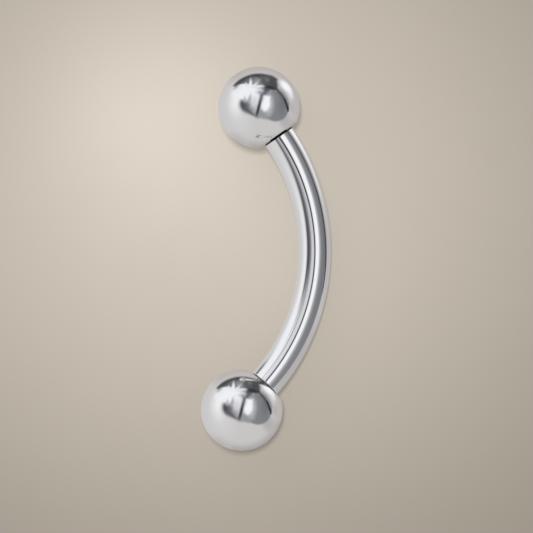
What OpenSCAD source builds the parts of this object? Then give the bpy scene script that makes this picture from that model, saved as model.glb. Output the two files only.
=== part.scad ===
// Curved eyebrow barbell: a bent round bar with a threaded stud at each end, and two balls screwed on.
// It lies as it would by itself on a table: on both balls and on the middle of the bar.
// Millimetres. X runs from the balls' side to the bulge of the bend, Y along the barbell, Z up.

/* [Balls] */
// Diameter of each ball
ball_d = 3.0; // [2.5:0.1:4]
// Straight distance between the two balls, which is the size that the barbell is sold by
wear_gap = 8.2; // [7:0.2:10]
// Diameter of the small flat turned on each ball, where it seats on the bar
seat_d = 1.7; // [1.4:0.05:1.9]

/* [Curved bar] */
// Diameter of the bar
bar_d = 1.2; // [1.1:0.05:1.3]
// Radius of the bend, to the middle of the bar
bend_r = 7.4; // [7.2:0.1:9]
// Straight length of full diameter behind each shoulder
straight_l = 0.08; // [0.08:0.01:0.5]
// Radius of the polished edge of each shoulder
shoulder_edge_r = 0.06; // [0.02:0.01:0.07]

/* [Threaded studs] */
// Diameter over the crests of the thread
thread_d = 1.0; // [0.9:0.05:1]
// Pitch of the thread
pitch = 0.25; // [0.2:0.05:0.25]
// Number of full crests on each stud
crests = 5; // [3:1:6]
// Length of the plain neck between the shoulder and the thread
neck_l = 0.16; // [0.1:0.02:0.3]
// Length of the bevelled tip past the last crest
tip_l = 0.1; // [0.06:0.02:0.2]

/* [Fit] */
// Gap between a ball's flat and the bar's shoulder, seen as the dark line of the joint
seam = 0.03; // [0.03:0.01:0.08]
// Radial clearance between the thread's crests and the bore of the ball
bore_clearance = 0.03; // [0.02:0.01:0.08]
// Space between the tip of the stud and the bottom of the bore
bore_spare = 0.2; // [0.1:0.05:0.3]

/* [Hidden] */

// Facets of round shapes where they are drawn as a mesh
ball_facets = 128;
bar_facets = 96;
stud_facets = 64;
// Points along the rounded edge of a shoulder
edge_steps = 4;
// Depth of a 60 degree thread, and the share of each pitch that is one flank and the crest
thread_depth = 0.541 * pitch;
flank_share = 0.3125;
crest_share = 0.125;
// Widening of the bore at its mouth
mouth_chamfer = 0.06;
// Half angle of the drill point at the bottom of the bore
drill_half_angle = 59;

ball_r = ball_d / 2;
bar_r = bar_d / 2;
crest_r = thread_d / 2;
root_r = crest_r - thread_depth;
bore_r = crest_r + bore_clearance;
stud_l = neck_l + crests * pitch + tip_l;
// Distance from a ball's centre to its flat, and on to the end of the bend
seat_h = sqrt(pow(ball_r, 2) - pow(seat_d / 2, 2));
centre_to_bend = seat_h + seam + straight_l;
bore_depth = stud_l - seam + bore_spare;

// Half of the bend's angle, from the distance between the balls' centres
half_span = (wear_gap + ball_d) / 2;
half_angle = asin(half_span / norm([bend_r, centre_to_bend])) - atan2(centre_to_bend, bend_r);
// How far the middle of the bar stands off the line through the balls' centres
bow = bend_r * (1 - cos(half_angle)) + centre_to_bend * sin(half_angle);
// The bend leans until the middle of the bar touches the table that the balls stand on
lean = asin((ball_r - bar_r) / bow);
// Moves the box of the whole barbell over the origin
centre_x = -(bow * cos(lean) + bar_r - ball_r) / 2;

// Lays the upright bend down on the table; before that, X is measured from the line through the balls
module lying() {
    translate([centre_x, 0, ball_r]) rotate([0, lean, 0]) children();
}

// Puts the end of the bend at the origin's place, with Z running out along the screw axis
module at_end(side) {
    mirror([0, side < 0 ? 1 : 0, 0])
        translate([bow - bend_r, 0, 0]) rotate([0, 0, half_angle])
            translate([bend_r, 0, 0]) rotate([-90, 0, 0]) children();
}

// Outline of one turn of the thread, from root to root
function thread_turn(z) = [
    [root_r, z],
    [crest_r, z + flank_share * pitch],
    [crest_r, z + (flank_share + crest_share) * pitch],
    [root_r, z + (2 * flank_share + crest_share) * pitch]
];

// Outline of the rounded edge of a shoulder
function shoulder_edge() = [
    for (i = [0 : edge_steps])
        let (a = 90 * i / edge_steps)
            [bar_r - shoulder_edge_r * (1 - cos(a)), straight_l - shoulder_edge_r * (1 - sin(a))]
];

// Straight end of the bar, its shoulder, neck, thread and bevelled tip, turned about the screw axis
module turned_end() {
    thread_start = straight_l + neck_l;
    turns = [for (i = [0 : crests - 1]) each thread_turn(thread_start + i * pitch)];
    tip_z = straight_l + stud_l;
    rotate_extrude($fn = stud_facets)
        polygon(concat(
            [[0, 0], [bar_r, 0]],
            shoulder_edge(),
            [[root_r, straight_l]],
            turns,
            [[root_r, tip_z - tip_l], [root_r - tip_l / 2, tip_z], [0, tip_z]]
        ));
}

// Bent round bar with a turned end on each side
module curved_bar() {
    color("gainsboro") lying() {
        translate([bow - bend_r, 0, 0]) rotate([0, 0, -half_angle])
            rotate_extrude(angle = 2 * half_angle, $fn = ball_facets)
                translate([bend_r, 0]) circle(r = bar_r, $fn = bar_facets);
        for (side = [-1, 1]) at_end(side) turned_end();
    }
}

// Ball with its flat and its blind bore, on the screw axis, with its centre at the origin
module threaded_ball() {
    point_l = bore_r / tan(drill_half_angle);
    bore_end = -seat_h + bore_depth;
    difference() {
        sphere(r = ball_r, $fn = ball_facets);
        translate([0, 0, -2 * ball_r]) cylinder(r = ball_r, h = 2 * ball_r - seat_h);
        translate([0, 0, -ball_d]) cylinder(r = bore_r, h = ball_d + bore_end, $fn = stud_facets);
        translate([0, 0, bore_end]) cylinder(r1 = bore_r, r2 = 0, h = point_l, $fn = stud_facets);
        translate([0, 0, -seat_h - mouth_chamfer])
            cylinder(r1 = bore_r + 2 * mouth_chamfer, r2 = bore_r, h = 2 * mouth_chamfer, $fn = stud_facets);
    }
}

// Places a ball on the stud at one end
module seated_ball(side) {
    lying() at_end(side) translate([0, 0, centre_to_bend]) threaded_ball();
}

// Ball at the +Y end
module upper_ball() {
    color("silver") seated_ball(1);
}

// Ball at the -Y end
module lower_ball() {
    color("silver") seated_ball(-1);
}

curved_bar();
upper_ball();
lower_ball();
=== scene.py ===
"""Curved eyebrow barbell, dressed for rendering.

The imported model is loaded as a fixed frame. A bar with cut helical threads and two mirror-polished balls
with tapped bores stand for its solids. They are modelled in millimetres and then laid in the frame.
The studio is a plain pale floor, and soft lights and dark cards far off, which polished steel reflects.
"""

from __future__ import annotations

import logging
import math
from collections.abc import Callable, Iterator, Mapping, Sequence
from contextlib import contextmanager
from dataclasses import dataclass, field
from enum import Enum

import bpy
from mathutils import Color, Matrix, Vector


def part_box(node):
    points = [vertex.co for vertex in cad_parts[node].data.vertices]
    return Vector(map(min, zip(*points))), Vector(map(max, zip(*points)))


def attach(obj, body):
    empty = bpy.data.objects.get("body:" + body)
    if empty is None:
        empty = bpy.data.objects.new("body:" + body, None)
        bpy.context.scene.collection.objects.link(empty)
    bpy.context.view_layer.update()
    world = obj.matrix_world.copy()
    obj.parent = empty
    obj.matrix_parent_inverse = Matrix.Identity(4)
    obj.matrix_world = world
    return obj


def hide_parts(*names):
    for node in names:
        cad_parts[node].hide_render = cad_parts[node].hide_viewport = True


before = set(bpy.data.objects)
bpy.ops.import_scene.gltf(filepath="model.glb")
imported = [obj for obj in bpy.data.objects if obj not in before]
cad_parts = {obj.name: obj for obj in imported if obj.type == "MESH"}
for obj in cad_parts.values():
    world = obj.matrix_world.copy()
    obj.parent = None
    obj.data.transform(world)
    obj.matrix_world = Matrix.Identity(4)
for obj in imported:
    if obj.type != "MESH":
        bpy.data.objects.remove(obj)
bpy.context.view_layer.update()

log = logging.getLogger("barbell")

MM = 0.001
# The balls are tumbled, which leaves them a little duller than the buffed bar
BALL_ROUGHNESS = 0.075
# Edges sharper than this stay crisp where a piece is shaded smooth
SHARP_EDGE = math.radians(30)
# How far a dressed piece's box may lie from its solid's, in metres, before the log warns of it
BOX_TOLERANCE = 0.03 * MM

# What a screen's white is in each part of a tone
SCREEN_WHITE = 255
# Numbers of a colour Mix node's sockets, which share their names with others
MIX_SHARE = 0
MIX_UNDER = 6
MIX_OVER = 7
MIX_RESULT = 2

Point = tuple[float, float]
Colour = tuple[float, float, float]
Inputs = Mapping[int | str, object]
Settings = Mapping[str, object]


def linear(tone: Colour) -> Colour:
    """Turns a tone as a screen shows it, up to 255 in each part, into scene light up to 1."""
    red, green, blue = Color([part / SCREEN_WHITE for part in tone]).from_srgb_to_scene_linear()
    return red, green, blue


class Side(Enum):
    """An end of the barbell. The value is the sign of its place along the barbell."""

    UPPER = 1
    LOWER = -1

    @property
    def ball(self) -> str:
        """Name of the ball at this end, which is also its body's name."""
        return f"{self.name.lower()}_ball"


# What the seats and necks reflect, kept low as painted shade of the seams between the balls and the bar: the
# upper seam shows black in the photograph, and the lower one grey
SEAT_SHADE_REFLECTANCE = {Side.UPPER: 0.06, Side.LOWER: 0.6}
# What the fine rings on a seat reflect, as a share of that
SEAT_GROOVE_SHARE = 0.75
SEAT_ROUGHNESS = 0.5


class Cut(Enum):
    """What a tool cuts off a piece. With nothing cut off, the two are joined."""

    INSIDE = "DIFFERENCE"
    OUTSIDE = "INTERSECT"
    NOTHING = "UNION"


@dataclass(frozen=True)
class Sizes:
    """Sizes of the barbell in millimetres, the same as the solids are made from."""

    ball_d: float = 3.0
    wear_gap: float = 8.2
    seat_d: float = 1.7
    bar_d: float = 1.2
    bend_r: float = 7.4
    straight_l: float = 0.08
    shoulder_edge_r: float = 0.06
    thread_d: float = 1.0
    pitch: float = 0.25
    crests: int = 5
    neck_l: float = 0.16
    tip_l: float = 0.1
    seam: float = 0.03
    bore_clearance: float = 0.03
    bore_spare: float = 0.2
    # Depth of the thread, and its flank and its crest, as shares of the pitch
    thread_depth_share: float = 0.541
    flank_share: float = 0.3125
    crest_share: float = 0.125
    mouth_chamfer: float = 0.06
    drill_half_angle: float = math.radians(59)

    @property
    def ball_r(self) -> float:
        """Radius of a ball."""
        return self.ball_d / 2

    @property
    def bar_r(self) -> float:
        """Radius of the bar's wire."""
        return self.bar_d / 2

    @property
    def crest_r(self) -> float:
        """Radius over the thread's crests."""
        return self.thread_d / 2

    @property
    def root_r(self) -> float:
        """Radius at the bottom of the thread's groove."""
        return self.crest_r - self.thread_depth_share * self.pitch

    @property
    def stud_l(self) -> float:
        """Length of a stud, from the shoulder to its tip."""
        return self.neck_l + self.crests * self.pitch + self.tip_l

    @property
    def seat_h(self) -> float:
        """Distance from a ball's centre to its flat."""
        return math.sqrt(self.ball_r**2 - (self.seat_d / 2) ** 2)

    @property
    def flat_z(self) -> float:
        """Distance from the end of the bend to a ball's flat, along the screw axis."""
        return self.straight_l + self.seam

    @property
    def ball_z(self) -> float:
        """Distance from the end of the bend to a ball's centre, along the screw axis."""
        return self.flat_z + self.seat_h

    @property
    def bore_l(self) -> float:
        """Depth of a ball's bore from its flat to the drill point."""
        return self.stud_l - self.seam + self.bore_spare

    @property
    def half_angle(self) -> float:
        """Half of the bend's angle, from the distance between the balls' centres.

        Returns:
            The angle in radians.
        """
        half_span = (self.wear_gap + self.ball_d) / 2
        reach = math.hypot(self.bend_r, self.ball_z)
        return math.asin(half_span / reach) - math.atan2(self.ball_z, self.bend_r)

    @property
    def bow(self) -> float:
        """How far the middle of the bar stands off the line through the balls' centres."""
        return self.bend_r * (1 - math.cos(self.half_angle)) + self.ball_z * math.sin(self.half_angle)

    @property
    def lean(self) -> float:
        """Angle by which the bend leans, so that the middle of the bar touches the floor."""
        return math.asin((self.ball_r - self.bar_r) / self.bow)

    @property
    def centre_x(self) -> float:
        """Place of the line through the balls' centres, with the whole box centred on the origin."""
        return -(self.bow * math.cos(self.lean) + self.bar_r - self.ball_r) / 2

    @property
    def bend_place(self) -> Matrix:
        """Lays the bend in the frame: from millimetres about the bend's centre to metres."""
        turned = Matrix.Translation((self.centre_x, 0, self.ball_r)) @ Matrix.Rotation(self.lean, 4, "Y")
        return Matrix.Scale(MM, 4) @ turned @ Matrix.Translation((self.bow - self.bend_r, 0, 0))

    def end_place(self, side: Side) -> Matrix:
        """Gives the screw axes of one end, about the bend's centre.

        Args:
            side: The end of the barbell.

        Returns:
            A matrix whose Z runs out along the screw axis, from the end of the bend.
        """
        sine, cosine = math.sin(self.half_angle), math.cos(self.half_angle)
        outward = Vector((-sine, side.value * cosine, 0))
        radial = Vector((cosine, side.value * sine, 0))
        turned = Matrix((radial, outward.cross(radial), outward)).transposed().to_4x4()
        return Matrix.Translation(radial * self.bend_r) @ turned


@dataclass(frozen=True)
class Wire:
    """An outlet of a shader's node. Python's operators on it add nodes."""

    shader: Shader
    outlet: bpy.types.NodeSocket


class Value(Wire):
    """A number in a shader, for sums written as Python expressions."""

    def maths(self, operation: str, *values: Value | float) -> Value:
        """Adds a Math node on the values, in the order of its inputs, and gives its result."""
        return self.shader.value("ShaderNodeMath", {"operation": operation}, dict(enumerate(values)))

    def __add__(self, other: Value | float) -> Value:
        """Sum."""
        return self.maths("ADD", self, other)

    __radd__ = __add__

    def __sub__(self, other: Value | float) -> Value:
        """Difference."""
        return self.maths("SUBTRACT", self, other)

    def __rsub__(self, other: float) -> Value:
        """Difference from a plain number."""
        return self.maths("SUBTRACT", other, self)

    def __mul__(self, other: Value | float) -> Value:
        """Product."""
        return self.maths("MULTIPLY", self, other)

    __rmul__ = __mul__

    def __truediv__(self, other: Value | float) -> Value:
        """Quotient."""
        return self.maths("DIVIDE", self, other)

    def __abs__(self) -> Value:
        """Size without sign."""
        return self.maths("ABSOLUTE", self)

    def highest(self, other: Value | float) -> Value:
        """The larger of the two."""
        return self.maths("MAXIMUM", self, other)

    def length_with(self, other: Value) -> Value:
        """Length of the hypotenuse over this and the other."""
        return self.maths("SQRT", self * self + other * other)

    def angle_over(self, other: Value) -> Value:
        """Angle whose sine goes with this and whose cosine goes with the other."""
        return self.maths("ARCTAN2", self, other)

    def fading_bell(self) -> Value:
        """Bell curve, 1 at nought, of a squared distance."""
        return self.maths("EXPONENT", self * -1.0)

    def fading(self, start: float, end: float) -> Value:
        """A smooth step that is 1 up to start and 0 from end on.

        Args:
            start: Where it begins to fade.
            end: Where it has faded out.

        Returns:
            The step, from 0 to 1.
        """
        span = {"From Min": start, "From Max": end, "To Min": 1.0, "To Max": 0.0}
        settings = {"interpolation_type": "SMOOTHSTEP"}
        return self.shader.value("ShaderNodeMapRange", settings, {"Value": self, **span})


class Arrow(Wire):
    """A vector in a shader."""

    def vector_maths(self, operation: str, *values: Arrow | Sequence[float]) -> bpy.types.Node:
        """Adds a Vector Math node on the values, in the order of its inputs."""
        return self.shader.add("ShaderNodeVectorMath", {"operation": operation}, dict(enumerate(values)))

    def __add__(self, other: Arrow | Sequence[float]) -> Arrow:
        """Sum of the two vectors."""
        return Arrow(self.shader, self.vector_maths("ADD", self, other).outputs["Vector"])

    def __mul__(self, other: Sequence[float]) -> Arrow:
        """The vector with each of its parts multiplied."""
        return Arrow(self.shader, self.vector_maths("MULTIPLY", self, other).outputs["Vector"])

    def unit(self) -> Arrow:
        """The vector with a length of 1."""
        return Arrow(self.shader, self.vector_maths("NORMALIZE", self).outputs["Vector"])

    def along(self, axis: Sequence[float]) -> Value:
        """The vector's part along an axis."""
        return Value(self.shader, self.vector_maths("DOT_PRODUCT", self, axis).outputs["Value"])


class Shader:
    """A node tree that is built up from expressions."""

    def __init__(self, tree: bpy.types.NodeTree) -> None:
        """Empties the tree of a material or of the world, and starts on it."""
        self.tree = tree
        tree.nodes.clear()

    def add(self, kind: str, settings: Settings, inputs: Inputs) -> bpy.types.Node:
        """Adds a node.

        Args:
            kind: The node's type.
            settings: Its settings, such as a Math node's operation, which are set first.
            inputs: The values or links of its sockets, by name or number.

        Returns:
            The node.
        """
        node = self.tree.nodes.new(kind)
        for name, setting in settings.items():
            setattr(node, name, setting)
        for key, given in inputs.items():
            if isinstance(given, Wire):
                self.tree.links.new(given.outlet, node.inputs[key])
            else:
                node.inputs[key].default_value = given
        return node

    def value(self, kind: str, settings: Settings, inputs: Inputs, outlet: int | str = 0) -> Value:
        """Adds a node and gives one of its outlets as a number."""
        return Value(self, self.add(kind, settings, inputs).outputs[outlet])

    def coordinates(self, outlet: str) -> Arrow:
        """The coordinates that the texture node's outlet gives."""
        return Arrow(self, self.add("ShaderNodeTexCoord", {}, {}).outputs[outlet])

    def object_place(self) -> Arrow:
        """Place on the object in millimetres."""
        return self.coordinates("Object") * (1 / MM, 1 / MM, 1 / MM)

    def noise(self, place: Arrow, scale: float, detail: float = 2.0) -> Value:
        """Soft random pattern from 0 to 1, of so many spots to a unit of place, with finer ones over it."""
        inputs = {"Vector": place, "Scale": scale, "Detail": detail}
        return self.value("ShaderNodeTexNoise", {}, inputs)

    def mixed(self, share: Value | float, under: Wire | Colour, over: Wire | Colour) -> Wire:
        """Lays one colour over another.

        Args:
            share: How much of the upper colour shows, from 0 to 1.
            under: The lower colour.
            over: The upper colour.

        Returns:
            The mixed colour.
        """
        low, high = (part if isinstance(part, Wire) else (*part, 1.0) for part in (under, over))
        inputs = {MIX_SHARE: share, MIX_UNDER: low, MIX_OVER: high}
        return Wire(self, self.add("ShaderNodeMix", {"data_type": "RGBA"}, inputs).outputs[MIX_RESULT])

    def bumped(self, height: Value, depth: float) -> Wire:
        """The normal of a relief whose height of 1 stands for a depth in millimetres."""
        inputs = {"Strength": 1.0, "Distance": depth * MM, "Height": height}
        return Wire(self, self.add("ShaderNodeBump", {}, inputs).outputs["Normal"])

    def show(self, kind: str, surface: Wire) -> None:
        """Connects the surface to the output node of the given type."""
        self.add(kind, {}, {"Surface": surface})

    def show_metal(self, colour: Wire, roughness: Value, normal: Wire) -> None:
        """Shows bare metal.

        Args:
            colour: What it reflects.
            roughness: How dull it is, from 0 to 1.
            normal: The normal of its relief.
        """
        inputs = {"Base Color": colour, "Metallic": 1.0, "Roughness": roughness, "Normal": normal}
        surface = self.add("ShaderNodeBsdfPrincipled", {}, inputs)
        self.show("ShaderNodeOutputMaterial", Wire(self, surface.outputs["BSDF"]))


def new_material(name: str) -> tuple[bpy.types.Material, Shader]:
    """Makes an empty material.

    Args:
        name: Its name.

    Returns:
        The material and its shader.
    """
    material = bpy.data.materials.new(name)
    material.use_nodes = True
    return material, Shader(material.node_tree)


@dataclass(frozen=True)
class MirrorSteel:
    """Surgical steel buffed to a mirror, with the faint haze and hairlines that the buffing leaves."""

    name: str
    reflectance: Colour = (0.9, 0.9, 0.9)
    # Share of colour lost in the faint darker clouds, and how many clouds there are to a millimetre
    clouding: float = 0.03
    cloud_spots: float = 1.3
    # How dull it is at least, and by how much that varies
    roughness: float = 0.05
    haze: float = 0.03
    # Depth of the hairlines in millimetres, and how many there are to a millimetre across and along
    hairline_depth: float = 0.00002
    hairlines_across: float = 60.0
    hairlines_along: float = 3.0

    def material(self) -> bpy.types.Material:
        """Makes the finish.

        Returns:
            The material.
        """
        material, shader = new_material(self.name)
        place = shader.object_place()
        clouds = shader.noise(place, self.cloud_spots)
        across, along = self.hairlines_across, self.hairlines_along
        hairlines = shader.noise(place * (across, along, across), 1.0, 0.0)
        darker = tuple(part * (1 - self.clouding) for part in self.reflectance)
        colour = shader.mixed(clouds, darker, self.reflectance)
        relief = shader.bumped(hairlines, self.hairline_depth)
        shader.show_metal(colour, clouds * self.haze + self.roughness, relief)
        return material


@dataclass(frozen=True)
class TurnedSteel:
    """Bare steel as the lathe leaves it, with fine rings round the screw axis."""

    name: str
    # From the object's place to the screw axes, in millimetres
    screw_place: Matrix
    reflectance: Colour = (0.56, 0.56, 0.57)
    groove_reflectance: Colour = (0.3, 0.3, 0.31)
    roughness: float = 0.26
    # How much rougher the rings' crests are
    ring_haze: float = 0.12
    # Depth of the rings in millimetres, and how many there are to a millimetre
    ring_depth: float = 0.0004
    rings: float = 40.0

    @classmethod
    def seat(cls, name: str, side: Side, screw_place: Matrix) -> TurnedSteel:
        """The finish of a seat and a neck: steel that the buffing doesn't reach, darkened further as painted
        shade of the seam.

        Args:
            name: The finish's name.
            side: The end of the barbell.
            screw_place: From the object's place to the screw axes, in millimetres.

        Returns:
            The finish.
        """
        light = SEAT_SHADE_REFLECTANCE[side]
        groove = light * SEAT_GROOVE_SHARE
        return cls(name, screw_place, (light,) * 3, (groove,) * 3, SEAT_ROUGHNESS)

    def material(self) -> bpy.types.Material:
        """Makes the finish.

        Returns:
            The material.
        """
        material, shader = new_material(self.name)
        place = shader.object_place()
        axes = self.screw_place.inverted()
        across, up, out = (place.along(axes[row][:3]) + axes[row][3] for row in range(3))
        spread = shader.add("ShaderNodeCombineXYZ", {}, {0: across.length_with(up), 1: out})
        rings = shader.noise(Arrow(shader, spread.outputs[0]), self.rings, 1.0)
        colour = shader.mixed(rings, self.groove_reflectance, self.reflectance)
        relief = shader.bumped(rings, self.ring_depth)
        shader.show_metal(colour, rings * self.ring_haze + self.roughness, relief)
        return material


class Workpiece:
    """A mesh on the bench, shaped in millimetres with the modelling operators."""

    # Points closer than this are one, and a point this near to a place is at it, in millimetres
    MERGE = 0.00002
    NEAR = 0.005

    def __init__(self, name: str, add: Callable[..., object], **settings: object) -> None:
        """Adds the primitive that the piece starts from.

        Args:
            name: The piece's name.
            add: The operator that adds the primitive.
            settings: The operator's settings.
        """
        bpy.ops.object.select_all(action="DESELECT")
        add(**settings)
        self.body = bpy.context.object
        self.body.name = name
        self.body.data.name = name
        bpy.ops.object.transform_apply(location=True, rotation=True, scale=True)

    @classmethod
    def outline(cls, name: str, points: Sequence[Point]) -> Workpiece:
        """Draws an outline in the XZ plane, point after point.

        Args:
            name: The piece's name.
            points: Radius and height of each point.

        Returns:
            The outline, with its last point selected.
        """
        piece = cls(name, bpy.ops.mesh.primitive_plane_add, size=1.0)
        steps = [Vector((radius, 0, height)) for radius, height in points]
        with piece.editing():
            bpy.ops.mesh.select_all(action="SELECT")
            bpy.ops.mesh.merge(type="CENTER")
            bpy.ops.transform.translate(value=steps[0])
            for here, there in zip(steps, steps[1:]):
                bpy.ops.mesh.extrude_vertices_move(TRANSFORM_OT_translate={"value": there - here})
        return piece

    @classmethod
    def turned(cls, name: str, points: Sequence[Point], sides: int) -> Workpiece:
        """Turns an outline round Z into a closed body, as a lathe does.

        Args:
            name: The piece's name.
            points: Radius and height of each point, from the axis to the axis.
            sides: How many sides the body has round its axis.

        Returns:
            The turned body.
        """
        piece = cls.outline(name, points)
        with piece.editing():
            bpy.ops.mesh.select_all(action="SELECT")
            bpy.ops.mesh.spin(steps=sides, angle=math.tau, center=(0, 0, 0), axis=(0, 0, 1))
        piece.tidy()
        return piece

    @classmethod
    def wound(cls, name: str, points: Sequence[Point], turns: int, steps: int) -> Workpiece:
        """Winds one turn's outline round Z into a helical surface, right-handed.

        Args:
            name: The piece's name.
            points: Radius and height of each point of one pitch, from root to root.
            turns: How many turns it makes.
            steps: How many steps each turn has.

        Returns:
            The surface, open at both ends.
        """
        piece = cls.outline(name, points)
        winding = piece.body.modifiers.new("winding", "SCREW")
        winding.axis = "Z"
        winding.angle = math.tau
        winding.screw_offset = points[-1][1] - points[0][1]
        winding.iterations = turns
        winding.steps = winding.render_steps = steps
        winding.use_normal_calculate = True
        piece.apply(winding)
        piece.tidy()
        return piece

    def take(self) -> None:
        """Makes the piece the active one, and the only one that is selected."""
        bpy.ops.object.select_all(action="DESELECT")
        self.body.select_set(True)
        bpy.context.view_layer.objects.active = self.body

    @contextmanager
    def editing(self) -> Iterator[None]:
        """Holds the piece in edit mode until the block ends."""
        self.take()
        bpy.ops.object.mode_set(mode="EDIT")
        bpy.ops.mesh.select_mode(type="VERT")
        yield
        bpy.ops.object.mode_set(mode="OBJECT")

    def pick(self, test: Callable[[Vector], bool]) -> None:
        """Selects the points that pass a test of their place, and the edges and faces between them.

        Args:
            test: Says whether a place is picked.
        """
        with self.editing():
            bpy.ops.mesh.select_all(action="DESELECT")
        picked = [test(vertex.co) for vertex in self.body.data.vertices]
        self.body.data.vertices.foreach_set("select", picked)

    def tidy(self) -> None:
        """Merges points that coincide and turns all faces outwards."""
        with self.editing():
            bpy.ops.mesh.select_all(action="SELECT")
            bpy.ops.mesh.remove_doubles(threshold=self.MERGE)
            bpy.ops.mesh.normals_make_consistent(inside=False)

    def slice(self, height: float, keep_above: bool) -> None:
        """Cuts the piece off flat across Z and closes the cut.

        Args:
            height: Where it is cut.
            keep_above: Whether the upper part stays, and not the lower.
        """
        with self.editing():
            bpy.ops.mesh.select_all(action="SELECT")
            bpy.ops.mesh.bisect(
                plane_co=(0, 0, height),
                plane_no=(0, 0, 1),
                use_fill=True,
                clear_inner=keep_above,
                clear_outer=not keep_above,
            )
        self.tidy()

    def apply(self, modifier: bpy.types.Modifier) -> None:
        """Applies a modifier."""
        self.take()
        bpy.ops.object.modifier_apply(modifier=modifier.name)

    def combine(self, tool: Workpiece, cut: Cut) -> None:
        """Cuts the piece with a tool, or joins the two. The tool is used up.

        Args:
            tool: The other body.
            cut: What is cut away.
        """
        joint = self.body.modifiers.new(cut.name, "BOOLEAN")
        joint.operation = cut.value
        joint.object = tool.body
        joint.solver = "EXACT"
        joint.material_mode = "TRANSFER"
        self.apply(joint)
        bpy.data.meshes.remove(tool.body.data)

    def dress(self, material: bpy.types.Material) -> None:
        """Gives the whole piece one finish."""
        self.body.data.materials.append(material)

    def coat(self, material: bpy.types.Material, test: Callable[[Vector], bool]) -> None:
        """Gives a part of the piece a finish of its own.

        Args:
            material: The finish.
            test: Says whether a place is in that part, which takes the faces between such places.
        """
        self.dress(material)
        self.body.active_material_index = len(self.body.data.materials) - 1
        self.pick(test)
        with self.editing():
            bpy.ops.object.material_slot_assign()

    def place(self, where: Matrix) -> None:
        """Moves the piece's mesh, and leaves its object at the origin.

        Args:
            where: From the piece's present place to its new one.
        """
        self.take()
        self.body.matrix_world = where
        bpy.ops.object.transform_apply(location=True, rotation=True, scale=True)

    def smooth(self) -> None:
        """Shades the piece smooth, apart from its sharp edges."""
        self.take()
        bpy.ops.object.shade_smooth_by_angle(angle=SHARP_EDGE)

    def stand_in(self, node: str, body: str, slot: str) -> None:
        """Puts the piece in the place of a node of the frame.

        Args:
            node: The node that it replaces.
            body: The body that it rides on.
            slot: The material slot of its finish; not used.
        """
        box = [self.body.matrix_world @ Vector(corner) for corner in self.body.bound_box]
        for pick, solid in zip((min, max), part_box(node)):
            for axis in range(3):
                off = pick(corner[axis] for corner in box) - solid[axis]
                if abs(off) > BOX_TOLERANCE:
                    log.warning("%s lies %.3f mm off its solid", self.body.name, off / MM)
        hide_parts(node)
        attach(self.body, body)
        faces = len(self.body.data.polygons)
        log.info("%s: %d faces, rides on %s", self.body.name, faces, body)


@dataclass
class Thread:
    """A right-handed 60 degree thread, as a solid screw about Z."""

    sizes: Sizes
    steps: int = 96

    def turn(self, growth: float) -> list[Point]:
        """Outline of one turn, from root to root.

        Args:
            growth: How far the outline stands outside the stud's own.

        Returns:
            Radius and height of each point.
        """
        sizes = self.sizes
        root, crest = sizes.root_r + growth, sizes.crest_r + growth
        flank, flat = sizes.flank_share * sizes.pitch, sizes.crest_share * sizes.pitch
        return [
            (root, 0),
            (crest, flank),
            (crest, flank + flat),
            (root, 2 * flank + flat),
            (root, sizes.pitch),
        ]

    def screw(self, name: str, low: float, high: float, growth: float = 0.0) -> Workpiece:
        """Makes a solid screw, cut off flat at both ends.

        Args:
            name: The piece's name.
            low: Where it begins along the screw axis.
            high: Where it ends.
            growth: How far it stands outside the stud's own thread.

        Returns:
            The screw.
        """
        pitch = self.sizes.pitch
        first = self.sizes.straight_l + self.sizes.neck_l
        start = first - pitch * (math.ceil((first - low) / pitch) + 1)
        turns = math.ceil((high - start) / pitch) + 1
        outline = [(radius, start + rise) for radius, rise in self.turn(growth)]
        piece = Workpiece.wound(name, outline, turns, self.steps)
        piece.slice(low, keep_above=True)
        piece.slice(high, keep_above=False)
        return piece


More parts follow.
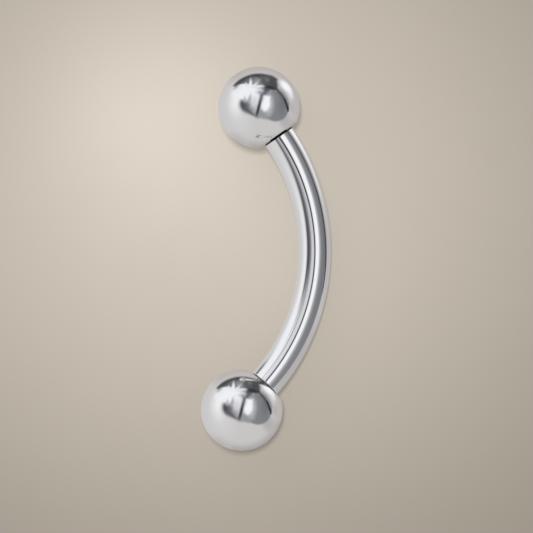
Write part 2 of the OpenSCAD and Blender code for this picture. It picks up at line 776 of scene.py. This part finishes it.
@dataclass
class Ball:
    """A ball with its flat and its tapped bore."""

    sizes: Sizes
    side: Side
    finish: MirrorSteel
    segments: int = 256
    # Rounding of the edge between the ball and its flat
    rim_bevel: float = 0.04
    rim_steps: int = 5
    # How far the seat's painted shade reaches past the bar, on the ball's flat
    seat_shade_margin: float = 0.08
    # Radius of the bore before it is tapped, and how far the tap stops short of its end
    tapping_r: float = 0.42
    tap_short: float = 0.12
    bore_sides: int = 96
    # How far outside the flat the tools start
    overshoot: float = 0.2

    def drill_outline(self) -> list[Point]:
        """Outline of the drill with its countersink and point.

        Returns:
            Radius and height of each point, from axis to axis.
        """
        sizes = self.sizes
        mouth_r = sizes.crest_r + sizes.bore_clearance + sizes.mouth_chamfer
        top = sizes.flat_z + sizes.bore_l
        slope = mouth_r - self.tapping_r
        point_l = self.tapping_r / math.tan(sizes.drill_half_angle)
        return [
            (0, sizes.flat_z - self.overshoot),
            (mouth_r + self.overshoot, sizes.flat_z - self.overshoot),
            (self.tapping_r, sizes.flat_z + slope),
            (self.tapping_r, top),
            (0, top + point_l),
        ]

    def solid(self, seat_shade_steel: bpy.types.Material) -> Workpiece:
        """Makes the ball with its flat, and the seat in the middle of that, darkened as painted shade of the
        seam.

        Args:
            seat_steel: The seat's finish, darkened as painted shade of the seam.

        Returns:
            The ball about its screw axis, before it is drilled.
        """
        sizes = self.sizes
        ball = Workpiece(
            self.side.ball + "_polished",
            bpy.ops.mesh.primitive_uv_sphere_add,
            segments=self.segments,
            ring_count=self.segments // 2,
            radius=sizes.ball_r,
            location=(0, 0, sizes.ball_z),
        )
        ball.dress(self.finish.material())
        ball.slice(sizes.flat_z, keep_above=True)
        ball.pick(lambda place: place.z < sizes.flat_z + ball.NEAR)
        with ball.editing():
            bpy.ops.mesh.bevel(offset=self.rim_bevel, segments=self.rim_steps, affect="EDGES")
        seat_shade_r = sizes.bar_r + self.seat_shade_margin
        flat_top = sizes.flat_z + ball.MERGE
        ball.pick(lambda place: place.z < flat_top)
        with ball.editing():
            bpy.ops.mesh.inset(thickness=sizes.seat_d / 2 - self.rim_bevel - seat_shade_r)
        # Painted shade: the seat in the middle of the flat takes the dark finish of the seam
        ball.coat(seat_shade_steel, lambda place: place.z < flat_top and place.xy.length < seat_shade_r + ball.NEAR)
        return ball

    def cut_bore(self, ball: Workpiece, cut_steel: bpy.types.Material) -> None:
        """Drills the ball and taps it.

        Args:
            ball: The ball about its screw axis.
            cut_steel: The bore's finish.
        """
        sizes = self.sizes
        drill = Workpiece.turned("drill", self.drill_outline(), self.bore_sides)
        drill.dress(cut_steel)
        ball.combine(drill, Cut.INSIDE)
        tap_end = sizes.flat_z + sizes.bore_l - self.tap_short
        tap = Thread(sizes).screw("tap", sizes.flat_z - self.overshoot, tap_end, sizes.bore_clearance)
        tap.dress(cut_steel)
        ball.combine(tap, Cut.INSIDE)

    def build(self) -> None:
        """Makes the ball and puts it in its place."""
        name = self.side.ball
        screw_place = self.sizes.bend_place @ self.sizes.end_place(self.side)
        screw_axes = Matrix.Scale(1 / MM, 4) @ screw_place
        # The seat's finish is dark as painted shade of the seam
        ball = self.solid(TurnedSteel.seat(f"seat_steel_{name}", self.side, screw_axes).material())
        self.cut_bore(ball, TurnedSteel(f"cut_steel_{name}", screw_axes).material())
        ball.tidy()
        ball.place(screw_place)
        ball.smooth()
        ball.stand_in(name, name, "ball_steel")


@dataclass
class Stud:
    """The threaded stud at one end of the bar, with its neck and bevelled tip."""

    sizes: Sizes
    # How far the neck lies below the thread's roots, and how far the tip's edge is bevelled back
    neck_relief: float = 0.01
    tip_bevel: float = 0.19
    # How far the stud's foot reaches into the bar
    foot: float = 0.05
    sides: int = 96

    def envelope(self) -> list[Point]:
        """Outline that the threaded rod is turned down to.

        Returns:
            Radius and height of each point, from axis to axis.
        """
        sizes = self.sizes
        neck_r = sizes.root_r - self.neck_relief
        over_r = sizes.crest_r + self.neck_relief
        neck_top = sizes.straight_l + sizes.neck_l
        tip = sizes.straight_l + sizes.stud_l
        tip_r = sizes.crest_r - self.tip_bevel
        return [
            (0, sizes.straight_l - self.foot),
            (neck_r, sizes.straight_l - self.foot),
            (neck_r, neck_top),
            (over_r, neck_top + over_r - neck_r),
            (over_r, tip - (over_r - tip_r)),
            (tip_r, tip),
            (0, tip),
        ]

    def build(self, finish: bpy.types.Material, neck_shade_finish: bpy.types.Material) -> Workpiece:
        """Makes the stud about its screw axis.

        Args:
            finish: The thread's finish.
            neck_shade_finish: The finish of the neck below it, darkened as painted shade of the seam.

        Returns:
            The stud.
        """
        outline = self.envelope()
        low, high = outline[0][1], outline[-1][1]
        stud = Thread(self.sizes).screw("stud", low - self.sizes.pitch, high + self.sizes.pitch)
        stud.dress(finish)
        envelope = Workpiece.turned("envelope", outline, self.sides)
        envelope.dress(finish)
        neck_top = self.sizes.straight_l + self.sizes.neck_l
        # Painted shade: the neck takes the seat's dark finish, for the shade inside the seam
        envelope.coat(neck_shade_finish, lambda place: place.z < neck_top + envelope.NEAR)
        stud.combine(envelope, Cut.OUTSIDE)
        return stud


@dataclass
class CurvedBar:
    """The bent round bar with its polished shoulders and its two studs."""

    sizes: Sizes
    finish: MirrorSteel
    sides: int = 96
    bend_steps: int = 256
    edge_steps: int = 5
    # How much of each shoulder's rounded edge takes the seat's dark finish, as painted shade of the seam
    shaded_edge: Mapping[Side, float] = field(default_factory=lambda: {Side.UPPER: 1.0, Side.LOWER: 0.0})

    def build(self) -> None:
        """Makes the bar and puts it in its place."""
        sizes = self.sizes
        angle = sizes.half_angle
        bar = Workpiece(
            "curved_bar_polished",
            bpy.ops.mesh.primitive_circle_add,
            vertices=self.sides,
            radius=sizes.bar_r,
            location=(sizes.bend_r * math.cos(angle), -sizes.bend_r * math.sin(angle), 0),
            rotation=(math.pi / 2, 0, -angle),
        )
        bar.dress(self.finish.material())
        with bar.editing():
            bpy.ops.mesh.select_all(action="SELECT")
            bpy.ops.mesh.spin(steps=self.bend_steps, angle=2 * angle, center=(0, 0, 0), axis=(0, 0, -1))
        for side in Side:
            screw_axes = Matrix.Scale(1 / MM, 4) @ sizes.bend_place @ sizes.end_place(side)
            name = f"{side.name.lower()}_stud"
            cut_steel = TurnedSteel(f"cut_steel_{name}", screw_axes).material()
            # The seat's finish is dark as painted shade of the seam
            seat_shade_steel = TurnedSteel.seat(f"seat_steel_{name}", side, screw_axes).material()
            self.shoulder(bar, side, seat_shade_steel)
            bar.tidy()
            stud = Stud(sizes).build(cut_steel, seat_shade_steel)
            stud.place(sizes.end_place(side))
            bar.combine(stud, Cut.NOTHING)
        bar.tidy()
        bar.place(sizes.bend_place)
        bar.smooth()
        bar.stand_in("curved_bar", "bar", "bar_steel")

    def shoulder(self, bar: Workpiece, side: Side, seat_shade_steel: bpy.types.Material) -> None:
        """Draws one end of the bend out to its rounded shoulder and closes it.

        Args:
            bar: The bent tube.
            side: Which end.
            seat_steel: The finish of the shoulder's face, darkened as painted shade of the seam.
        """
        sizes = self.sizes
        place = sizes.end_place(side)
        start, out = place.to_translation(), place.col[2].to_3d()
        bar.pick(lambda here: abs((here - start).dot(out)) < bar.NEAR and here.y * side.value > 0)
        edge_r = sizes.shoulder_edge_r
        turns = [math.pi / 2 * step / self.edge_steps for step in range(self.edge_steps + 1)]
        inner_r, foot = sizes.bar_r - edge_r, sizes.straight_l - edge_r
        rings = [(inner_r + edge_r * math.cos(turn), foot + edge_r * math.sin(turn)) for turn in turns]
        radius, height = sizes.bar_r, 0.0
        with bar.editing():
            for next_radius, next_height in rings:
                rise = out * (next_height - height)
                bpy.ops.mesh.extrude_region_move(TRANSFORM_OT_translate={"value": rise})
                share = next_radius / radius
                centre = start + out * next_height
                bpy.ops.transform.resize(value=(share, share, share), center_override=centre)
                radius, height = next_radius, next_height
            bpy.ops.mesh.edge_face_add()
        # Painted shade: the shoulder's face, and at the upper end its rounded edge too, take the seat's dark
        # finish
        shade_from = sizes.straight_l - edge_r * self.shaded_edge[side] - bar.MERGE
        bar.coat(seat_shade_steel, lambda here: (here - start).dot(out) > shade_from and here.y * side.value > 0)


@dataclass(frozen=True)
class View:
    """The camera's place, as the photograph was taken."""

    # From the barbell to the camera, before its length is made 1
    towards: Vector = field(default_factory=lambda: Vector((0.2942, -0.052, 0.9602)))
    # How far the barbell's length is turned clockwise from upright in the picture
    roll: float = math.radians(3.27)
    # Distance in millimetres, and the picture's width and scale
    distance: float = 250.0
    picture_px: int = 533
    px_per_mm: float = 27.1
    sensor: float = 36.0
    # What the camera sees, from near to far, in metres
    near: float = 0.01
    far: float = 10.0
    # From the middle of the line through the balls' centres to the middle of the picture
    aim_right: float = 0.597
    aim_up: float = -0.296

    @property
    def back(self) -> Vector:
        """Direction from the barbell to the camera."""
        return self.towards.normalized()

    @property
    def axes(self) -> tuple[Vector, Vector]:
        """Directions in the frame that are right and up in the picture.

        Returns:
            The one to the right and the one upwards.
        """
        length = Vector((0, 1, 0))
        upright = (length - length.dot(self.back) * self.back).normalized()
        sideways = upright.cross(self.back)
        right = math.cos(self.roll) * sideways + math.sin(self.roll) * upright
        up = math.cos(self.roll) * upright - math.sin(self.roll) * sideways
        return right, up

    def aim(self, sizes: Sizes) -> Vector:
        """Place in the middle of the picture, in millimetres.

        Args:
            sizes: The barbell's sizes.

        Returns:
            The place.
        """
        right, up = self.axes
        middle = Vector((sizes.centre_x, 0, sizes.ball_r))
        return middle + right * self.aim_right + up * self.aim_up

    def build(self, sizes: Sizes) -> None:
        """Makes the camera and looks through it.

        Args:
            sizes: The barbell's sizes.
        """
        right, up = self.axes
        data = bpy.data.cameras.new("camera")
        data.sensor_width = self.sensor
        data.lens = self.sensor * self.distance * self.px_per_mm / self.picture_px
        data.clip_start = self.near
        data.clip_end = self.far
        camera = bpy.data.objects.new("camera", data)
        turned = Matrix((right, up, self.back)).transposed().to_4x4()
        camera.matrix_world = Matrix.Translation((self.aim(sizes) + self.back * self.distance) * MM) @ turned
        bpy.context.collection.objects.link(camera)
        bpy.context.scene.camera = camera
        log.info("camera: lens %.1f mm", data.lens)


class Form(Enum):
    """Shape of a light or card as a ball's mirror shows it."""

    OVAL = "oval"
    SLAB = "slab"
    ARC = "arc"


@dataclass(frozen=True)
class Card:
    """A far light or card of the studio, placed by where a ball's mirror shows it.

    Places and sizes are shares of the ball's radius, to the right and up from its middle in the picture.
    An oval or slab is given half its length and half its width, and an arc its radius and half its width.
    An arc's turn points to its middle. Soft is half the width of the edge's fade. Angles are in degrees.
    """

    name: str
    tone: Colour
    at: Point
    size: Point
    form: Form = Form.OVAL
    turn: float = 0.0
    soft: float = 0.03
    opacity: float = 1.0
    span: float = 360.0

    def gap(self, right: Value, up: Value) -> Value:
        """Distance outside the card's edge, and below nought inside it.

        Args:
            right: Place to the right in the ball's mirror.
            up: Place upwards in the ball's mirror.

        Returns:
            The distance.
        """
        turn = math.radians(self.turn)
        across, rise = right - self.at[0], up - self.at[1]
        along = across * math.cos(turn) + rise * math.sin(turn)
        beside = rise * math.cos(turn) - across * math.sin(turn)
        if self.form is Form.OVAL:
            share = (along / self.size[0]).length_with(beside / self.size[1])
            return (share - 1) * min(self.size)
        if self.form is Form.SLAB:
            return (abs(along) - self.size[0]).highest(abs(beside) - self.size[1])
        width = abs(along.length_with(beside) - self.size[0]) - self.size[1]
        reach = (abs(beside.angle_over(along)) - math.radians(self.span / 2)) * self.size[0]
        return width.highest(reach)


# Middle of the arcs that edge the grey wall
WALL_ARCS = (-0.07, -0.17)
# What the steel reflects, each card in front of the ones above it
REFLECTED = (
    Card("floor_far_off", (176, 170, 167), (0, 0), (1.06, 0.15), Form.ARC, soft=0.18),
    Card("floor_left", (207, 206, 207), (0, 0), (0.92, 0.1), Form.ARC, turn=180, span=80, soft=0.3),
    # Painted shadow: the floor's shade at the barbell's lower right, as the steel's mirror shows it
    Card("floor_shadow_low_right", (160, 156, 154), (0, 0), (1.08, 0.12), Form.ARC, turn=-62, span=76, soft=0.16),
    Card("floor_glow", (213, 212, 213), (-0.5, -0.15), (0.2, 0.35), turn=20, soft=0.22),
    Card("window_glow", (240, 240, 242), (-0.57, 0.14), (0.12, 0.24), soft=0.15),
    Card("far_wall", (112, 112, 115), (0, 0), (0.68, 0.14), Form.ARC, turn=98, span=82),
    Card("far_wall_light", (156, 155, 157), (-0.03, 0.625), (0.11, 0.06), turn=10, soft=0.06),
    Card("far_wall_left", (92, 92, 95), (-0.42, 0.62), (0.12, 0.06), turn=32, soft=0.05),
    Card("wall_streak", (82, 82, 85), (0.0, 0.74), (0.11, 0.018), turn=-24, soft=0.02),
    Card("far_wall_foot", (66, 66, 68), (0, 0), (0.786, 0.03), Form.ARC, turn=98, span=82, soft=0.042),
    Card("wall_corner", (92, 92, 94), (0.22, 0.6), (0.19, 0.18), soft=0.05),
    Card("dark_door", (78, 78, 81), (0.35, 0.56), (0.11, 0.19), turn=15, soft=0.05),
    Card("door_gleam", (116, 116, 113), (0.2, 0.67), (0.05, 0.03), turn=-30),
    Card("beam_corner", (84, 85, 95), (0.165, 0.405), (0.105, 0.14), turn=-25, soft=0.035),
    Card("dark_beam", (50, 52, 58), (0.265, 0.48), (0.175, 0.04), turn=-15, soft=0.035),
    Card("grey_wall_left", (168, 168, 174), (0.035, 0.43), (0.07, 0.11), turn=-10, soft=0.06),
    Card("window", (240, 241, 245), (-0.36, 0.36), (0.27, 0.18), turn=6, soft=0.06),
    Card("window_right", (238, 239, 244), (-0.14, 0.4), (0.13, 0.14), turn=-30, soft=0.05),
    Card("ray_up", (240, 241, 245), (-0.205, 0.53), (0.036, 0.15), turn=-2, soft=0.02),
    Card("ray_upper_left", (238, 239, 243), (-0.36, 0.52), (0.14, 0.05), turn=4, soft=0.025),
    Card("ray_high_left", (224, 225, 230), (-0.31, 0.55), (0.02, 0.05), turn=14, soft=0.02),
    Card("ray_left", (232, 233, 237), (-0.53, 0.42), (0.12, 0.045), turn=36, soft=0.04),
    Card("ray_right", (226, 227, 232), (-0.03, 0.505), (0.14, 0.03), turn=3, soft=0.02),
    Card("ray_high_right", (228, 229, 235), (-0.1, 0.545), (0.08, 0.024), turn=40, soft=0.02),
    Card("ray_low_right", (214, 215, 221), (0.01, 0.43), (0.08, 0.025), turn=-24),
    Card("window_shade", (168, 167, 170), (-0.56, 0.485), (0.06, 0.022), turn=38),
    Card("notch", (150, 150, 157), (0.0, 0.35), (0.07, 0.03), turn=-10, soft=0.035),
    Card("window_foot", (238, 239, 243), (-0.09, 0.2), (0.07, 0.15), turn=-18, soft=0.045),
    Card("sill", (112, 113, 118), (-0.3, -0.005), (0.19, 0.135), turn=-35, soft=0.065),
    Card("sill_left", (86, 88, 94), (-0.385, 0.055), (0.06, 0.11), turn=24, soft=0.05),
    Card("sill_core", (50, 52, 58), (-0.4, 0.03), (0.035, 0.1), turn=14, soft=0.035, opacity=0.5),
    Card("sill_leaf", (160, 161, 166), (-0.23, 0.2), (0.028, 0.09), turn=-14, soft=0.035),
    Card("sill_bud", (176, 177, 181), (-0.35, 0.19), (0.025, 0.06), turn=-4),
    Card("sill_edge", (90, 90, 95), (0.16, 0.4), (0.655, 0.035), Form.ARC, turn=236, span=40, soft=0.05),
    Card("sill_light", (206, 207, 213), (-0.13, 0.1), (0.06, 0.12), turn=-20, soft=0.07),
    Card("wall_foot", (150, 149, 152), (0.1, -0.19), (0.22, 0.1), turn=-17, soft=0.04),
    Card("beyond_wall", (182, 179, 178), (0.83, -0.02), (0.07, 0.14), soft=0.06),
    Card("floor_by_wall", (180, 177, 176), (0.66, -0.34), (0.14, 0.22), turn=20, soft=0.09),
    Card("grey_wall", (129, 130, 134), (0.41, 0.03), (0.335, 0.385), soft=0.025),
    Card("grey_wall_low", (150, 150, 154), (0.17, -0.14), (0.14, 0.11), turn=-20, soft=0.06),
    Card("grey_wall_far", (114, 116, 120), (0.57, 0.06), (0.08, 0.22), soft=0.09),
    Card("grey_wall_top", (106, 107, 111), WALL_ARCS, (0.75, 0.03), Form.ARC, turn=30, span=32, soft=0.035),
    Card("lamp_glow", (202, 203, 208), (0.24, 0.08), (0.09, 0.19), soft=0.1),
    Card("lamp_shine", (244, 245, 248), (0.188, 0.15), (0.077, 0.12), Form.SLAB, turn=-6, soft=0.04),
    Card("lamp_shine_foot", (244, 245, 248), (0.158, 0.04), (0.095, 0.145), turn=-8, soft=0.04),
    Card("wall_edge", (62, 63, 68), WALL_ARCS, (0.79, 0.022), Form.ARC, turn=32, span=44, soft=0.026),
    Card("wall_edge_foot", (16, 17, 20), WALL_ARCS, (0.791, 0.02), Form.ARC, turn=17, span=24, soft=0.022),
    Card("behind_wall", (152, 151, 152), WALL_ARCS, (0.845, 0.022), Form.ARC, turn=32, span=32, soft=0.04),
    Card("pole", (106, 106, 117), (0.01, 0.055), (0.036, 0.27), Form.SLAB, turn=-14.5, soft=0.024),
    Card("pole_core", (42, 43, 54), (-0.01, -0.03), (0.028, 0.17), turn=-14, soft=0.024),
    Card("strip_light_foot", (226, 226, 230), (0.775, 0.33), (0.045, 0.1), turn=22, soft=0.04),
    Card("strip_light", (246, 246, 249), (0.655, 0.515), (0.075, 0.18), turn=42, soft=0.04),
)


@dataclass(frozen=True)
class LightPool:
    """A soft pool of light painted on the floor's colour, in millimetres to the right and up from the
    picture's middle.
    """

    at: Point
    size: Point
    strength: float

    def share(self, right: Value, up: Value) -> Value:
        """Brightness of the pool.

        Args:
            right: Place to the right in the picture.
            up: Place upwards in the picture.

        Returns:
            The brightness, which is the strength in the pool's middle.
        """
        across = (right - self.at[0]) / self.size[0]
        rise = (up - self.at[1]) / self.size[1]
        return (across * across + rise * rise).fading_bell() * self.strength


@dataclass
class Studio:
    """The plain floor, the soft light and what the polished steel reflects."""

    sizes: Sizes
    view: View
    steel_reflectance: float = 0.9
    backdrop_tone: Colour = (201, 198, 198)
    far_floor_tone: Colour = (140, 131, 119)
    lit_floor_tone: Colour = (227, 217, 204)
    floor_width: float = 4.0
    floor_lights: tuple[LightPool, ...] = (
        LightPool((-2.5, 3.2), (15.9, 14.2), 0.78),
        LightPool((-4.4, 5.8), (3.9, 3.9), 0.22),
    )
    # How much the pool's brightness wavers, as a share, and in how many spots to a millimetre
    mottling: float = 0.05
    mottles: float = 0.35
    # Shares of the floor's tone that the lamp and the room light. The floor gives off the rest by itself.
    lamp_share: float = 0.36
    room_share: float = 0.25
    # What the room sheds on the floor, as a share of white
    room_light: float = 0.62
    # How far right and up of the camera the lamp stands, for each unit of its distance, and how wide it is
    lamp_at: Point = (-0.06, 0.115)
    lamp_width: float = math.radians(9)

    def reflected(self, tone: Colour) -> Colour:
        """Light that polished steel shows as the tone."""
        red, green, blue = (part / self.steel_reflectance for part in linear(tone))
        return red, green, blue

    def build_world(self) -> None:
        """Paints what surrounds the barbell at a distance, which the steel's mirror shows."""
        world = bpy.data.worlds.new("studio")
        world.use_nodes = True
        shader = Shader(world.node_tree)
        facing = (shader.coordinates("Generated").unit() + self.view.back).unit()
        right, up = (facing.along(axis) for axis in self.view.axes)
        colour: Wire | Colour = self.reflected(self.backdrop_tone)
        for card in REFLECTED:
            share = card.gap(right, up).fading(-card.soft, card.soft) * card.opacity
            colour = shader.mixed(share, colour, self.reflected(card.tone))
            colour.outlet.node.label = card.name
        seen = shader.value("ShaderNodeLightPath", {}, {}, "Is Camera Ray")
        colour = shader.mixed(seen, colour, linear(self.far_floor_tone))
        light = shader.add("ShaderNodeBackground", {}, {"Color": colour})
        shader.show("ShaderNodeOutputWorld", Wire(shader, light.outputs["Background"]))
        bpy.context.scene.world = world
        log.info("studio: %d lights and cards", len(REFLECTED))

    @property
    def floor_white(self) -> float:
        """How much light the floor sends back, as a share of its tone."""
        return self.room_share / self.room_light

    def build_lamp(self) -> None:
        """Hangs a soft lamp near the camera, for the thin shadows under the barbell."""
        right, up = self.view.axes
        towards = (self.view.back + right * self.lamp_at[0] + up * self.lamp_at[1]).normalized()
        data = bpy.data.lights.new("lamp", "SUN")
        data.angle = self.lamp_width
        data.energy = math.pi * self.lamp_share / (self.floor_white * towards.z)
        lamp = bpy.data.objects.new("lamp", data)
        lamp.matrix_world = towards.to_track_quat("Z", "Y").to_matrix().to_4x4()
        lamp.visible_glossy = False
        bpy.context.collection.objects.link(lamp)

    def build_floor(self) -> None:
        """Makes the pale floor, with its painted pool of light."""
        floor = Workpiece("floor", bpy.ops.mesh.primitive_plane_add, size=self.floor_width)
        floor.dress(self.floor_material())
        floor.body.visible_glossy = False

    def floor_material(self) -> bpy.types.Material:
        """Makes the floor's finish, a plain pale tone with a soft pool of light painted into it.

        Returns:
            The material.
        """
        material, shader = new_material("pale_floor")
        place = shader.object_place()
        aim = self.view.aim(self.sizes)
        right, up = ((place + -aim).along(axis) for axis in self.view.axes)
        mottling = shader.noise(place, self.mottles) * self.mottling + (1 - self.mottling / 2)
        # Painted light: the pool brightens the floor's colour towards the picture's upper left
        pool = mottling * sum(light.share(right, up) for light in self.floor_lights)
        tone = shader.mixed(pool, linear(self.far_floor_tone), linear(self.lit_floor_tone))
        own_share = 1 - self.lamp_share - self.room_share
        # Painted light: the floor glows by itself with the share of its tone that no lamp gives
        glow = shader.add("ShaderNodeEmission", {}, {"Color": tone, "Strength": own_share})
        matt_tone = shader.mixed(self.floor_white, (0.0, 0.0, 0.0), tone)
        matt = shader.add("ShaderNodeBsdfDiffuse", {}, {"Color": matt_tone})
        both = dict(enumerate(Wire(shader, node.outputs[0]) for node in (glow, matt)))
        lit = shader.add("ShaderNodeAddShader", {}, both)
        shader.show("ShaderNodeOutputMaterial", Wire(shader, lit.outputs[0]))
        return material


def main() -> None:
    """Builds the studio and the barbell, piece by piece."""
    logging.basicConfig(level=logging.INFO, format="%(name)s: %(message)s")
    sizes = Sizes()
    view = View()
    view.build(sizes)
    studio = Studio(sizes, view)
    studio.build_world()
    studio.build_floor()
    studio.build_lamp()
    CurvedBar(sizes, MirrorSteel("polished_bar")).build()
    for side in Side:
        Ball(sizes, side, MirrorSteel(f"polished_{side.ball}", roughness=BALL_ROUGHNESS)).build()
    bpy.context.scene.view_settings.view_transform = "Standard"


if __name__ == "__main__":
    main()
